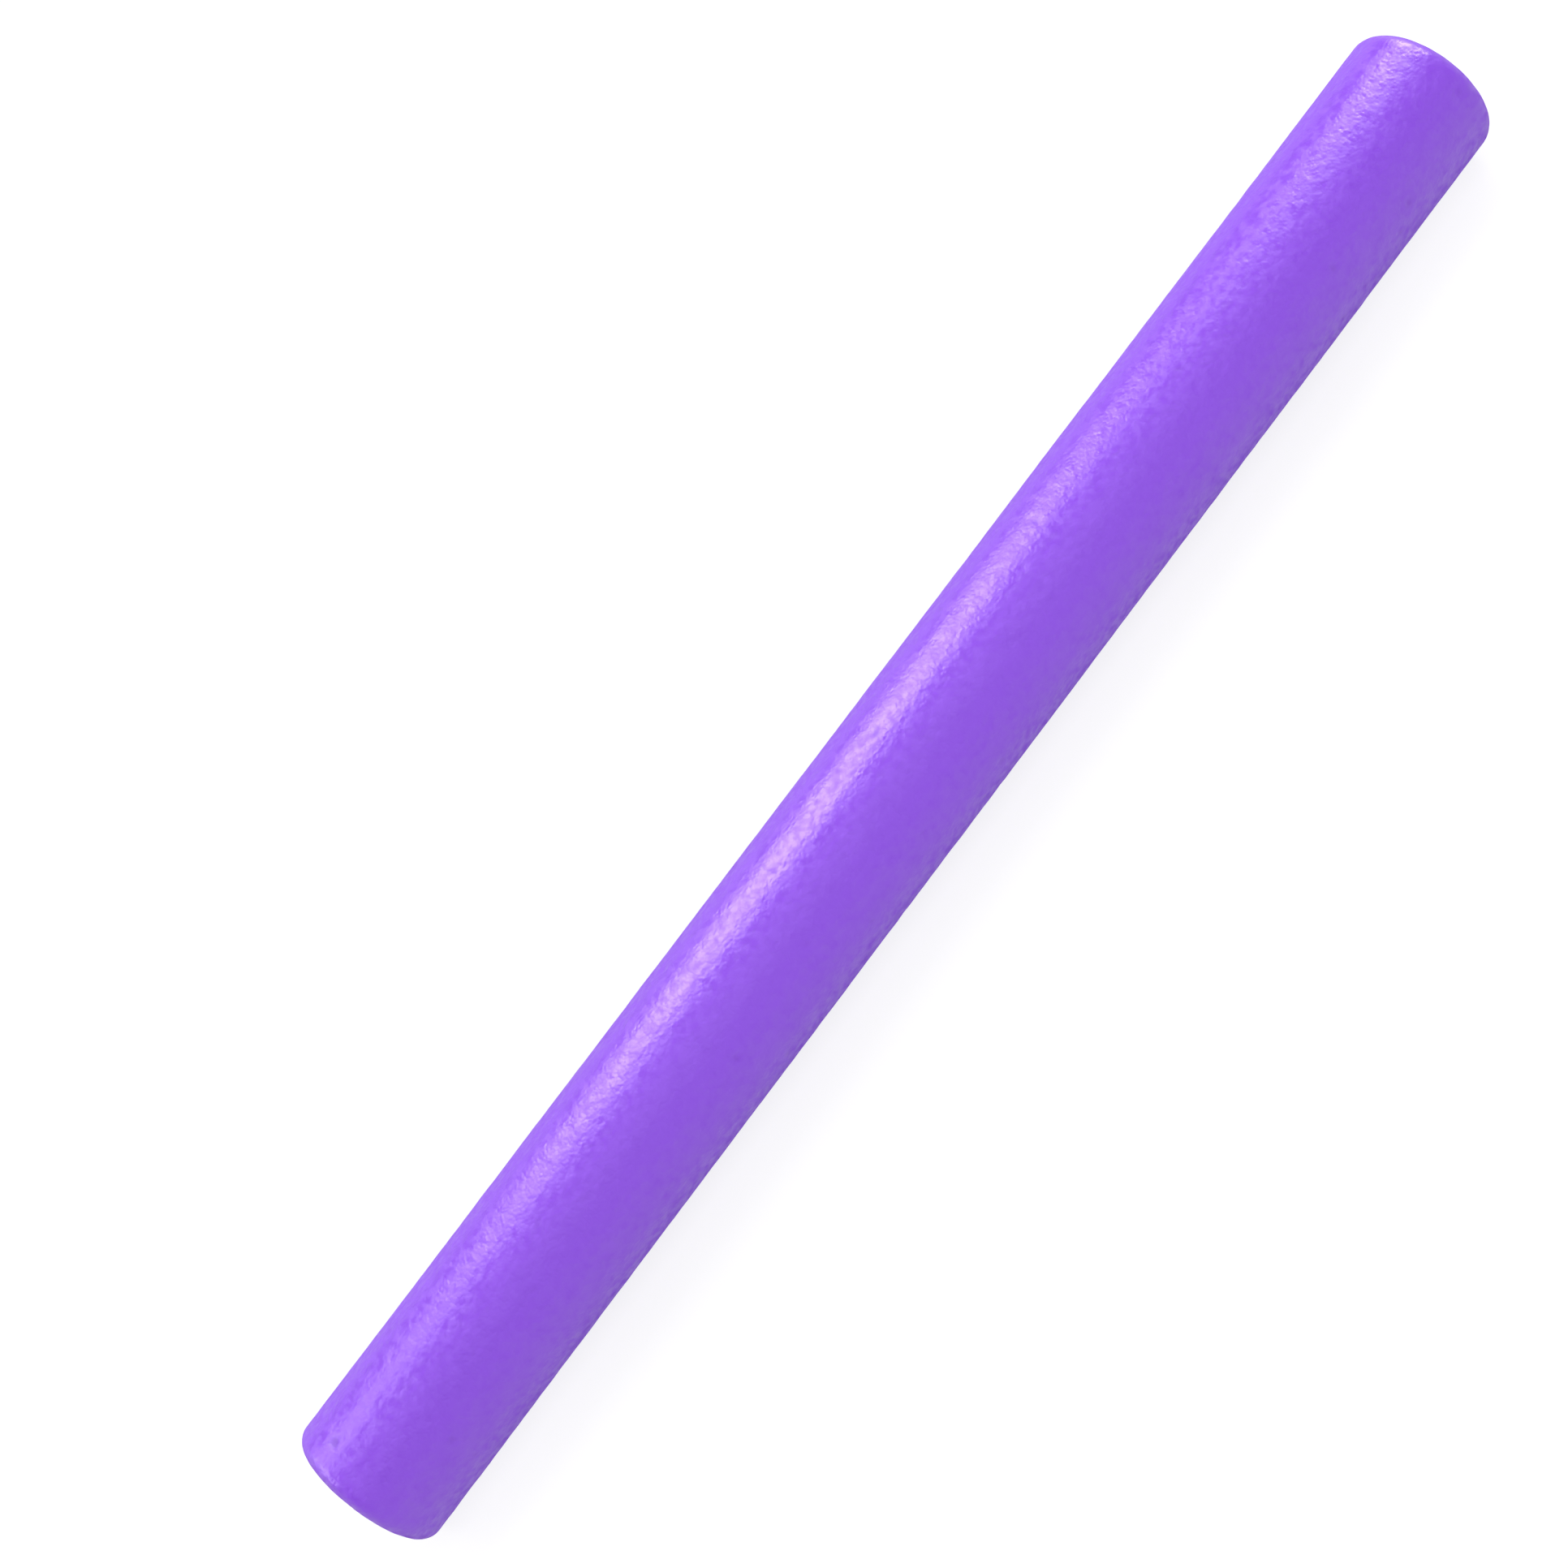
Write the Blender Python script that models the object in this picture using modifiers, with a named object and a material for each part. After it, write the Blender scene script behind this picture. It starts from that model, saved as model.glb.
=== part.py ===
"""Jumbo pool noodle: one extruded tube of closed-cell foam, lying on the floor.

The tube runs along +X and rests on z = 0, with the origin on the floor under its middle.
Every length is in metres. Scaling all the named lengths alike scales the whole noodle.
"""

import math

import bmesh
import bpy

# Foam tube: overall size, the bore through its middle, and the rounding of its edges
LENGTH = 1.220
DIAMETER = 0.113
BORE_DIAMETER = 0.030
RIM_ROUNDING = 0.010
MOUTH_ROUNDING = 0.003

# The foam settles under its own weight, so its underside is flat to this depth
REST_FLAT_DEPTH = 0.0005

# A cutter runs this far past the foam on every open side
CUTTER_OVERRUN = 0.010

# Facets round the tube, and along each rounded edge
STEPS_AROUND = 108
RIM_STEPS = 7
MOUTH_STEPS = 3

# The tube's axis lies this high when the flat is on the floor
AXIS_HEIGHT = DIAMETER / 2 - REST_FLAT_DEPTH

# Violet foam skin: a soft sheen and no metal
FOAM_COLOUR = (0.305, 0.107, 0.871, 1.0)
FOAM_ROUGHNESS = 0.5
FOAM_METALLIC = 0.0


def clear_scene():
    """Remove every object that the open file holds."""
    for old in list(bpy.data.objects):
        bpy.data.objects.remove(old, do_unlink=True)


def new_collection(name):
    """Add a collection to the scene."""
    collection = bpy.data.collections.new(name)
    bpy.context.scene.collection.children.link(collection)
    return collection


def object_from_bmesh(name, shape, collection):
    """Turn a bmesh into an object in a collection."""
    mesh = bpy.data.meshes.new(name)
    shape.to_mesh(mesh)
    shape.free()
    made = bpy.data.objects.new(name, mesh)
    collection.objects.link(made)
    return made


def foam_material():
    """Violet polyethylene foam with its smooth extruded skin."""
    material = bpy.data.materials.new("violet_foam")
    material.use_nodes = True
    surface = material.node_tree.nodes["Principled BSDF"]
    surface.inputs["Base Color"].default_value = FOAM_COLOUR
    surface.inputs["Roughness"].default_value = FOAM_ROUGHNESS
    surface.inputs["Metallic"].default_value = FOAM_METALLIC
    material.diffuse_color = FOAM_COLOUR
    return material


def arc_points(centre_x, centre_z, radius, start_degrees, end_degrees, steps):
    """Points along a circular arc in the XZ plane, both ends included."""
    points = []
    for step in range(steps + 1):
        turned = start_degrees + (end_degrees - start_degrees) * step / steps
        angle = math.radians(turned)
        points.append((centre_x + radius * math.cos(angle), centre_z + radius * math.sin(angle)))
    return points


def tube_section():
    """Outline of the foam on one side of the axis: down the outside, then up the bore."""
    rim_x = DIAMETER / 2 - RIM_ROUNDING
    rim_z = LENGTH / 2 - RIM_ROUNDING
    mouth_x = BORE_DIAMETER / 2 + MOUTH_ROUNDING
    mouth_z = LENGTH / 2 - MOUTH_ROUNDING
    outside = arc_points(rim_x, rim_z, RIM_ROUNDING, 90, 0, RIM_STEPS)
    outside += arc_points(rim_x, -rim_z, RIM_ROUNDING, 0, -90, RIM_STEPS)
    bore = arc_points(mouth_x, -mouth_z, MOUTH_ROUNDING, 270, 180, MOUTH_STEPS)
    bore += arc_points(mouth_x, mouth_z, MOUTH_ROUNDING, 180, 90, MOUTH_STEPS)
    return outside + bore


def section_bmesh(points):
    """A closed loop of edges through the points, in the XZ plane."""
    shape = bmesh.new()
    corners = [shape.verts.new((x, 0, z)) for x, z in points]
    for index, corner in enumerate(corners):
        shape.edges.new((corners[index - 1], corner))
    return shape


def make_rest_cutter(cutters):
    """A block under the floor, as long and wide as the tube and a little more."""
    length = LENGTH + 2 * CUTTER_OVERRUN
    width = DIAMETER + 2 * CUTTER_OVERRUN
    depth = REST_FLAT_DEPTH + CUTTER_OVERRUN
    block = bmesh.new()
    bmesh.ops.create_cube(block, size=1)
    bmesh.ops.scale(block, vec=(length, width, depth), verts=block.verts)
    cutter = object_from_bmesh("rest_cutter", block, cutters)
    cutter.location = (0, 0, -depth / 2)
    cutter.hide_render = True
    cutter.display_type = "WIRE"
    return cutter


def make_foam_tube(parts, cutters):
    """The whole noodle: the section turned round its axis, laid down and flattened below."""
    tube = object_from_bmesh("foam_tube", section_bmesh(tube_section()), parts)
    tube.data.materials.append(foam_material())
    tube.location = (0, 0, AXIS_HEIGHT)
    tube.rotation_euler = (0, math.radians(90), 0)

    turned = tube.modifiers.new("turned section", "SCREW")
    turned.axis = "Z"
    turned.angle = math.radians(360)
    turned.steps = STEPS_AROUND
    turned.render_steps = STEPS_AROUND
    turned.use_smooth_shade = True

    rest_flat = tube.modifiers.new("rest flat", "BOOLEAN")
    rest_flat.operation = "DIFFERENCE"
    rest_flat.solver = "EXACT"
    rest_flat.object = make_rest_cutter(cutters)
    return tube


def main():
    """Build the noodle from an empty scene."""
    clear_scene()
    parts = new_collection("pool_noodle")
    cutters = new_collection("cutters")
    make_foam_tube(parts, cutters)


main()
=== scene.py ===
import math
import random

import bmesh
import bpy
from mathutils import Matrix, Vector, kdtree, noise


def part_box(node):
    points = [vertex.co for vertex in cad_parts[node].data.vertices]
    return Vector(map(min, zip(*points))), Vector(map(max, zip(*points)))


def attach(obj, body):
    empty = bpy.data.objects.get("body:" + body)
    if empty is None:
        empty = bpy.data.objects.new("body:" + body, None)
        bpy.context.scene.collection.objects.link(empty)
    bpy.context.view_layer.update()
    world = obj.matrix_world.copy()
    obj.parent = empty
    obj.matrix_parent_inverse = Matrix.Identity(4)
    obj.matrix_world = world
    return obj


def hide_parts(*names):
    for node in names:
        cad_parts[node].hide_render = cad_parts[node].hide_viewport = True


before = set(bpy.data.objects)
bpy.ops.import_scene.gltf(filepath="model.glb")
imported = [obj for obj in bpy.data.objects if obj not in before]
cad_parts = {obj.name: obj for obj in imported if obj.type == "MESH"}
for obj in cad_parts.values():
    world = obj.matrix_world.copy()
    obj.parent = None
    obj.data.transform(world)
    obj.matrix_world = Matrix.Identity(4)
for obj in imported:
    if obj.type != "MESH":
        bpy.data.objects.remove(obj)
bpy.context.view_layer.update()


# Foam tube
# One extrusion of closed-cell polyethylene foam, cut to length. The die leaves a smooth skin with a fine
# grain on the outside, the cut ends show open cells, and the underside lies flat where the foam rests.
node_low, node_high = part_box("foam_tube")
HALF_LENGTH = (node_high.x - node_low.x) / 2
TUBE_RADIUS = (node_high.y - node_low.y) / 2
AXIS_HEIGHT = node_high.z - TUBE_RADIUS
BORE_RADIUS = 0.015
RIM_ROUNDING = 0.010
MOUTH_ROUNDING = 0.003

RIM_SEGMENTS = 8
MOUTH_SEGMENTS = 4
STEPS_AROUND = 152
SKIN_SPACING = 0.0027
CUT_SPACING = 0.0012
BORE_SPACING = 0.012


def round_corners(shape, corners, radius, segments):
    """Round the section's corners at these vertices."""
    bmesh.ops.bevel(
        shape,
        geom=corners,
        offset=radius,
        offset_type="OFFSET",
        affect="VERTICES",
        segments=segments,
        profile=0.5,
        material=-1,
    )


def edge_spacing(edge):
    """How far apart the points lie along a straight edge of the section."""
    start, end = (corner.co for corner in edge.verts)
    if abs(start.x - end.x) < RIM_ROUNDING:
        return CUT_SPACING
    return SKIN_SPACING if start.z > TUBE_RADIUS - RIM_ROUNDING else BORE_SPACING


def foam_section(shape):
    """The foam on one side of the axis: a long rectangle with round corners, split into short edges."""
    section_corners = [
        shape.verts.new((-HALF_LENGTH, 0, TUBE_RADIUS)),
        shape.verts.new((HALF_LENGTH, 0, TUBE_RADIUS)),
        shape.verts.new((HALF_LENGTH, 0, BORE_RADIUS)),
        shape.verts.new((-HALF_LENGTH, 0, BORE_RADIUS)),
    ]
    shape.faces.new(section_corners)
    round_corners(shape, section_corners[:2], RIM_ROUNDING, RIM_SEGMENTS)
    round_corners(shape, section_corners[2:], MOUTH_ROUNDING, MOUTH_SEGMENTS)
    bmesh.ops.delete(shape, geom=shape.faces[:], context="FACES_ONLY")
    for edge in list(shape.edges):
        cuts = round(edge.calc_length() / edge_spacing(edge)) - 1
        if cuts > 0:
            bmesh.ops.subdivide_edges(shape, edges=[edge], cuts=cuts)


def turn_section(shape):
    """Turn the section round the X axis into a closed tube."""
    bmesh.ops.spin(
        shape,
        geom=shape.verts[:] + shape.edges[:],
        cent=(0, 0, 0),
        axis=(1, 0, 0),
        angle=math.radians(360),
        steps=STEPS_AROUND,
        use_merge=True,
    )
    bmesh.ops.recalc_face_normals(shape, faces=shape.faces[:])
    shape.normal_update()


# The cut ends and the bore meet halfway round the mouth. The rims' last points belong to the cut ends.
MOUTH_RADIUS = BORE_RADIUS + MOUTH_ROUNDING / 2
CUT_DEPTH = MOUTH_ROUNDING / 4


def on_cut_end(place):
    """1 on the flat ring that the blade cut, 0 on the skin."""
    flat = HALF_LENGTH - abs(place.x) < CUT_DEPTH
    return 1.0 if flat and math.hypot(place.y, place.z) > MOUTH_RADIUS else 0.0


def in_bore(place):
    """1 on the wall of the bore, 0 elsewhere."""
    return 1.0 if math.hypot(place.y, place.z) < MOUTH_RADIUS else 0.0


# The relief: how long each kind of wave is, and how deep
SWAY_LENGTH = 0.110
SWAY_DEPTH = 0.00022
RIPPLE_LENGTH = 0.020
RIPPLE_DEPTH = 0.00006
LUMP_LENGTH = 0.0085
LUMP_DEPTH = 0.00016
CELL_LENGTH = 0.0030
CELL_DEPTH = 0.00045
CELL_WALL_SLOPE = 2.2


def skin_relief(place):
    """How far the skin stands out: slow sways of the extrusion, ripples, and the lumps of its cells."""
    sway = noise.noise(place / SWAY_LENGTH) * SWAY_DEPTH
    ripple = noise.noise(place / RIPPLE_LENGTH) * RIPPLE_DEPTH
    return sway + ripple + noise.noise(place / LUMP_LENGTH) * LUMP_DEPTH


def cut_relief(place):
    """How far a cut end stands out: bowls of the opened cells, with thin walls between them."""
    near = noise.voronoi(place / CELL_LENGTH)[0]
    return -CELL_DEPTH * min(1.0, (near[1] - near[0]) * CELL_WALL_SLOPE)


def shape_surface(shape):
    """Move every point along its normal by the relief of the surface that it lies on."""
    cut = shape.verts.layers.float.new("cut_end")
    bore = shape.verts.layers.float.new("bore_wall")
    for vert in shape.verts:
        place = vert.co.copy()
        vert[cut] = on_cut_end(place)
        vert[bore] = in_bore(place)
        relief = cut_relief(place) if vert[cut] else skin_relief(place)
        vert.co = place + vert.normal * relief


# Pits where a large cell burst under the skin. The first are where the photograph shows them: how far
# along the tube, how many degrees round from the top, how far the bowl reaches and how deep it is.
SHOWN_PITS = (
    (-0.585, 7.5, 0.0058, 0.0016),
    (-0.185, 10, 0.0034, 0.0004),
    (-0.140, 9, 0.0036, 0.0005),
    (0.005, 6.5, 0.0036, 0.0005),
    (0.516, 89, 0.0050, 0.0005),
    (0.594, 66, 0.0040, 0.0004),
)
OTHER_PITS = 90
OTHER_REACHES = (0.0026, 0.0048)
DEPTH_SHARE = 0.11
# A pit's painted shade and its dullness are full at this depth
DARKEST_DEPTH = 0.0012
PIT_SEED = 7


def pit_places():
    """Where every pit lies, as a point on the skin, how far it reaches and how deep it is."""
    luck = random.Random(PIT_SEED)
    pits = list(SHOWN_PITS)
    for _ in range(OTHER_PITS):
        reach = luck.uniform(*OTHER_REACHES)
        along = luck.uniform(-HALF_LENGTH, HALF_LENGTH)
        pits.append((along, luck.uniform(-180, 180), reach, reach * DEPTH_SHARE))
    for along, turn, reach, depth in pits:
        angle = math.radians(turn)
        centre = Vector((along, -math.sin(angle) * TUBE_RADIUS, math.cos(angle) * TUBE_RADIUS))
        yield centre, reach, depth


def press_pits(shape):
    """Press each pit into the skin as a small round bowl, and note how deep in one each point lies."""
    shape.verts.ensure_lookup_table()
    pit = shape.verts.layers.float.new("pit")
    tree = kdtree.KDTree(len(shape.verts))
    for vert in shape.verts:
        tree.insert(vert.co, vert.index)
    tree.balance()
    for centre, reach, depth in pit_places():
        for _, index, distance in tree.find_range(centre, reach):
            vert = shape.verts[index]
            share = math.cos(distance / reach * math.pi / 2) ** 2
            vert.co -= vert.normal * depth * share
            vert[pit] = max(vert[pit], share * depth / DARKEST_DEPTH)


def settle(shape):
    """Lay the tube on the floor: nothing reaches below it, so the underside is flat."""
    bmesh.ops.translate(shape, verts=shape.verts, vec=(0, 0, AXIS_HEIGHT))
    for vert in shape.verts:
        vert.co.z = max(vert.co.z, 0.0)


foam_shape = bmesh.new()
foam_section(foam_shape)
turn_section(foam_shape)
shape_surface(foam_shape)
foam_shape.verts.index_update()
press_pits(foam_shape)
settle(foam_shape)
foam_mesh = bpy.data.meshes.new("violet_foam_tube")
foam_shape.to_mesh(foam_mesh)
foam_shape.free()
foam_mesh.shade_smooth()
foam = bpy.data.objects.new("violet_foam_tube", foam_mesh)
bpy.context.scene.collection.objects.link(foam)


class Field:
    """One output of the shader nodes. Arithmetic on it adds Math nodes."""

    def __init__(self, tree, socket=None):
        self.tree = tree
        self.socket = socket

    def node(self, kind, settings, values, output=0):
        """Add a node: its settings first, then the value or link of each socket."""
        made = self.tree.nodes.new("ShaderNode" + kind)
        for name, setting in settings.items():
            setattr(made, name, setting)
        for key, value in values.items():
            if isinstance(value, Field):
                self.tree.links.new(value.socket, made.inputs[key])
            else:
                made.inputs[key].default_value = value
        return Field(self.tree, made.outputs[output])

    def maths(self, operation, first, second):
        """A Math node on two values or links."""
        return self.node("Math", {"operation": operation}, {0: first, 1: second})

    def __add__(self, other):
        return self.maths("ADD", self, other)

    def __radd__(self, other):
        return self.maths("ADD", other, self)

    def __sub__(self, other):
        return self.maths("SUBTRACT", self, other)

    def __rsub__(self, other):
        return self.maths("SUBTRACT", other, self)

    def __mul__(self, other):
        return self.maths("MULTIPLY", self, other)

    def __rmul__(self, other):
        return self.maths("MULTIPLY", other, self)


def mixed(share, first, second):
    """A colour between two colours, by a share."""
    return share.node("Mix", {"data_type": "RGBA"}, {0: share, 6: first, 7: second}, 2)


# The foam's colours: the skin's two tones, the painted shade in a pit, and the walls of a cut end and the
# painted shade in its hollows
SKIN_COLOUR = (0.275, 0.066, 0.850, 1)
SKIN_LIGHT = (0.292, 0.074, 0.880, 1)
PIT_PAINTED_SHADE = (0.200, 0.040, 0.640, 1)
CUT_COLOUR = (0.470, 0.230, 0.930, 1)
CUT_HOLLOW_PAINTED_SHADE = (0.300, 0.110, 0.780, 1)

# How large its marks are, and how much of the tone each gives. The lines that the die draws are stretched
# along the tube.
DIE_LINE_WIDTH = 0.0045
DIE_LINE_STRETCH = (0.03, 1, 1)
BLOTCH_SIZE = 0.0085
DULL_PATCH_SIZE = 0.0058
GRAIN_SIZE = 0.0050
SKIN_CELL_SIZE = 0.0022
BLOTCH_SHARE = 0.6
DIE_LINE_SHARE = 0.4

# Roughness of the skin's glossiest spots, and what patches, grazing views, cuts and pits add to it. The
# patches are the noise times its contrast, above the threshold.
GLOSSIEST = 0.28
PATCH_CONTRAST = 1.8
PATCH_THRESHOLD = 0.65
PATCH_DULLNESS = 0.38
GRAZING_START = 0.45
GRAZING_DULLNESS = 0.7
CUT_DULLNESS = 0.35
BORE_DULLNESS = 0.2
PIT_DULLNESS = 0.2

# How strong the skin's sheen is, and its faint pink tint, both fitted to the photograph
SPECULAR_LEVEL = 0.9
SHEEN_TINT = (1.0, 0.92, 1.0, 1)

# Height of each kind of fine relief, in millimetres
CELL_HEIGHT = 0.10
GRAIN_HEIGHT = 0.50
DIE_LINE_HEIGHT = 0.02
OPEN_CELL_HEIGHT = 0.30
MILLIMETRE = 0.001


def violet_foam():
    """Violet foam: a satin skin with the grain of its cells, dull open cells on the cut ends, and painted
    shade in the pits and in the open cells' hollows.
    """
    material = bpy.data.materials.new("violet_foam")
    material.use_nodes = True
    tree = material.node_tree
    surface = tree.nodes["Principled BSDF"]
    start = Field(tree)
    place = start.node("TexCoord", {}, {}, "Object")
    cut = start.node("Attribute", {"attribute_name": "cut_end"}, {}, "Fac")
    bore = start.node("Attribute", {"attribute_name": "bore_wall"}, {}, "Fac")
    pit = start.node("Attribute", {"attribute_name": "pit"}, {}, "Fac")
    facing = start.node("LayerWeight", {}, {"Blend": 0.5}, "Facing")

    def speckle(size, coords=place):
        """Soft spots of this size."""
        values = {"Vector": coords, "Scale": 1 / size, "Detail": 1.0}
        return start.node("TexNoise", {}, values, "Fac")

    def bubbles(size):
        """Round humps of this size, packed together."""
        values = {"Vector": place, "Scale": 1 / size}
        nearest = start.node("TexVoronoi", {"feature": "F1"}, values, "Distance")
        return 1 - nearest * nearest

    along = start.node("Mapping", {}, {"Vector": place, "Scale": DIE_LINE_STRETCH})
    die_lines = speckle(DIE_LINE_WIDTH, along)
    dull_patches = start.maths("MAXIMUM", speckle(DULL_PATCH_SIZE) * PATCH_CONTRAST - PATCH_THRESHOLD, 0.0)
    grazed = start.maths("MAXIMUM", facing - GRAZING_START, 0.0)
    open_cells = bubbles(CELL_LENGTH)

    tone = speckle(BLOTCH_SIZE) * BLOTCH_SHARE + die_lines * DIE_LINE_SHARE
    # In a pit the skin's colour turns to a painted shade, darker the deeper the pit
    skin = mixed(pit, mixed(tone, SKIN_COLOUR, SKIN_LIGHT), PIT_PAINTED_SHADE)
    # On a cut end the cell walls keep their own lighter colour, and the sunken hollows between them get a
    # painted shade
    opened = mixed(open_cells, CUT_COLOUR, CUT_HOLLOW_PAINTED_SHADE)
    tree.links.new(mixed(cut, skin, opened).socket, surface.inputs["Base Color"])

    satin = dull_patches * PATCH_DULLNESS + GLOSSIEST + grazed * GRAZING_DULLNESS
    roughness = satin + cut * CUT_DULLNESS + bore * BORE_DULLNESS + pit * PIT_DULLNESS
    tree.links.new(roughness.socket, surface.inputs["Roughness"])
    surface.inputs["Specular IOR Level"].default_value = SPECULAR_LEVEL
    surface.inputs["Specular Tint"].default_value = SHEEN_TINT

    grain = bubbles(SKIN_CELL_SIZE) * CELL_HEIGHT + speckle(GRAIN_SIZE) * GRAIN_HEIGHT
    height = grain + die_lines * DIE_LINE_HEIGHT - cut * open_cells * OPEN_CELL_HEIGHT
    bump = start.node("Bump", {}, {"Height": height, "Distance": MILLIMETRE, "Strength": 1.0}, "Normal")
    tree.links.new(bump.socket, surface.inputs["Normal"])
    return material


foam_mesh.materials.append(violet_foam())
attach(foam, "root")
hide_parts("foam_tube")


# Floor
# A wide round sheet of white card under the tube, with its far rim curved up out of sight. The camera and
# mirrored rays see it brighter, as the white background, most of all away from the tube, where the lamps
# reach it less. It keeps the tube's soft shadow.
FLOOR_RADIUS = 12.0
FLOOR_SIDES = 96

# How far out and how high each ring of the rim lies
RIM_RISE = ((12.8, 0.2), (13.4, 0.7), (13.8, 1.5), (14.0, 2.6), (14.0, 5.0))

# The card as it lights the tube, and as it is seen: its own share of the light, and a glow that grows
# from this far from the tube's middle over this width
FLOOR_WHITE = (0.60, 0.60, 0.60, 1)
SEEN_WHITE = (0.20, 0.20, 0.20, 1)
NEAR_GLOW = (0.83, 0.83, 0.83, 1)
FAR_GLOW = (0.96, 0.96, 0.96, 1)
GLOW_START = 0.4
GLOW_WIDTH = 0.9

floor_shape = bmesh.new()
bmesh.ops.create_circle(floor_shape, cap_ends=True, segments=FLOOR_SIDES, radius=FLOOR_RADIUS)
rim = floor_shape.edges[:]
ring_radius = FLOOR_RADIUS
ring_height = 0.0
for next_radius, next_height in RIM_RISE:
    raised = bmesh.ops.extrude_edge_only(floor_shape, edges=rim)["geom"]
    raised_points = [part for part in raised if isinstance(part, bmesh.types.BMVert)]
    rim = [part for part in raised if isinstance(part, bmesh.types.BMEdge)]
    widening = next_radius / ring_radius
    bmesh.ops.scale(floor_shape, vec=(widening, widening, 1), verts=raised_points)
    bmesh.ops.translate(floor_shape, vec=(0, 0, next_height - ring_height), verts=raised_points)
    ring_radius = next_radius
    ring_height = next_height
floor_mesh = bpy.data.meshes.new("white_floor")
floor_shape.to_mesh(floor_mesh)
floor_shape.free()
floor = bpy.data.objects.new("white_floor", floor_mesh)
bpy.context.scene.collection.objects.link(floor)


def seen_directly(start):
    """1 for rays that show the background: the camera's, mirrored ones and those through clear stuff."""
    camera_ray = start.node("LightPath", {}, {}, "Is Camera Ray")
    mirrored_ray = start.node("LightPath", {}, {}, "Is Glossy Ray")
    clear_ray = start.node("LightPath", {}, {}, "Is Transmission Ray")
    return start.maths("MAXIMUM", camera_ray, start.maths("MAXIMUM", mirrored_ray, clear_ray))


def white_sheet():
    """Matt white card."""
    material = bpy.data.materials.new("white_sheet")
    material.use_nodes = True
    tree = material.node_tree
    tree.nodes.clear()
    start = Field(tree)
    lit = start.node("BsdfDiffuse", {}, {"Color": FLOOR_WHITE})
    shown = start.node("BsdfDiffuse", {}, {"Color": SEEN_WHITE})
    place = start.node("TexCoord", {}, {}, "Object")
    distance = start.node("VectorMath", {"operation": "LENGTH"}, {0: place}, "Value")
    glow_colour = mixed((distance - GLOW_START) * (1 / GLOW_WIDTH), NEAR_GLOW, FAR_GLOW)
    glow = start.node("Emission", {}, {"Color": glow_colour})
    bright = start.node("AddShader", {}, {0: shown, 1: glow})
    shader = start.node("MixShader", {}, {0: seen_directly(start), 1: lit, 2: bright})
    output = tree.nodes.new("ShaderNodeOutputMaterial")
    tree.links.new(shader.socket, output.inputs["Surface"])
    return material


floor_mesh.materials.append(white_sheet())


# Studio light
# A long soft box above and behind the tube gives the pale streak along it. One at each end carries the
# streak round the rim. A wide one in front and the pale room fill the rest. Each box has a lamp for matt
# surfaces, and all but the front one have another for gloss. Their brightnesses are fitted to the photograph.
ROOM_WHITE = (1, 1, 1, 1)
ROOM_LIGHT = 0.26

# Each box: its name, its place, where it points, its length and width, and how bright it is in gloss and
# on matt surfaces
LAMPS = (
    ("long_soft_box", (0.05, 1.20, 2.24), (0.05, 0.0, 0.056), 1.45, 1.60, 5.9, 3.15),
    ("right_soft_box", (1.53, 0.29, 1.05), (0.60, 0.0, 0.100), 0.90, 0.70, 8.6, 4.8),
    ("left_soft_box", (-1.33, 0.42, 1.05), (-0.60, 0.0, 0.100), 1.00, 0.85, 3.1, 2.05),
    ("front_soft_box", (0.00, -0.95, 1.20), (0.00, 0.0, 0.056), 2.20, 1.50, 0.0, 1.54),
)

# The lamp for matt surfaces hangs this far behind the one for gloss, because two in one plane lose light
LAMP_GAP = 0.05

world = bpy.data.worlds.new("pale_room")
bpy.context.scene.world = world
world.use_nodes = True
room = world.node_tree.nodes["Background"]
room.inputs["Color"].default_value = ROOM_WHITE
room.inputs["Strength"].default_value = ROOM_LIGHT


def aimed(place, target):
    """The turn that points a lamp or a camera at the target."""
    return (Vector(target) - Vector(place)).to_track_quat("-Z", "Y")


def hang_lamp(name, place, target, length, width, radiance):
    """Hang one lit rectangle, pointing at its target."""
    lamp_data = bpy.data.lights.new(name, "AREA")
    lamp_data.shape = "RECTANGLE"
    lamp_data.size = length
    lamp_data.size_y = width
    lamp_data.energy = radiance * math.pi * length * width
    lamp = bpy.data.objects.new(name, lamp_data)
    lamp.location = place
    lamp.rotation_euler = aimed(place, target).to_euler()
    bpy.context.scene.collection.objects.link(lamp)
    return lamp


for name, place, target, length, width, in_gloss, on_matt in LAMPS:
    if in_gloss:
        gloss_lamp = hang_lamp(name + "_gloss", place, target, length, width, in_gloss)
        gloss_lamp.visible_diffuse = False
    behind = Vector(place) + (Vector(place) - Vector(target)).normalized() * LAMP_GAP
    matt_lamp = hang_lamp(name, behind, target, length, width, on_matt)
    matt_lamp.visible_glossy = False


# Camera
# It looks down on the tube from its front, from as high as it is far off, and is rolled so that the tube
# runs from the lower left to the upper right.
CAMERA_PLACE = (-0.1621, -1.0910, 1.1470)
CAMERA_AIM = (-0.0555, 0.0925, 0.0560)
CAMERA_ROLL = 49.257
CAMERA_LENS = 51.50
SENSOR_WIDTH = 36.0

camera_data = bpy.data.cameras.new("camera")
camera_data.sensor_width = SENSOR_WIDTH
camera_data.lens = CAMERA_LENS
camera = bpy.data.objects.new("camera", camera_data)
camera.location = CAMERA_PLACE
level = aimed(CAMERA_PLACE, CAMERA_AIM).to_matrix()
camera.rotation_euler = (level @ Matrix.Rotation(math.radians(-CAMERA_ROLL), 3, "Z")).to_euler()
bpy.context.scene.collection.objects.link(camera)
bpy.context.scene.camera = camera
bpy.context.scene.view_settings.view_transform = "Standard"
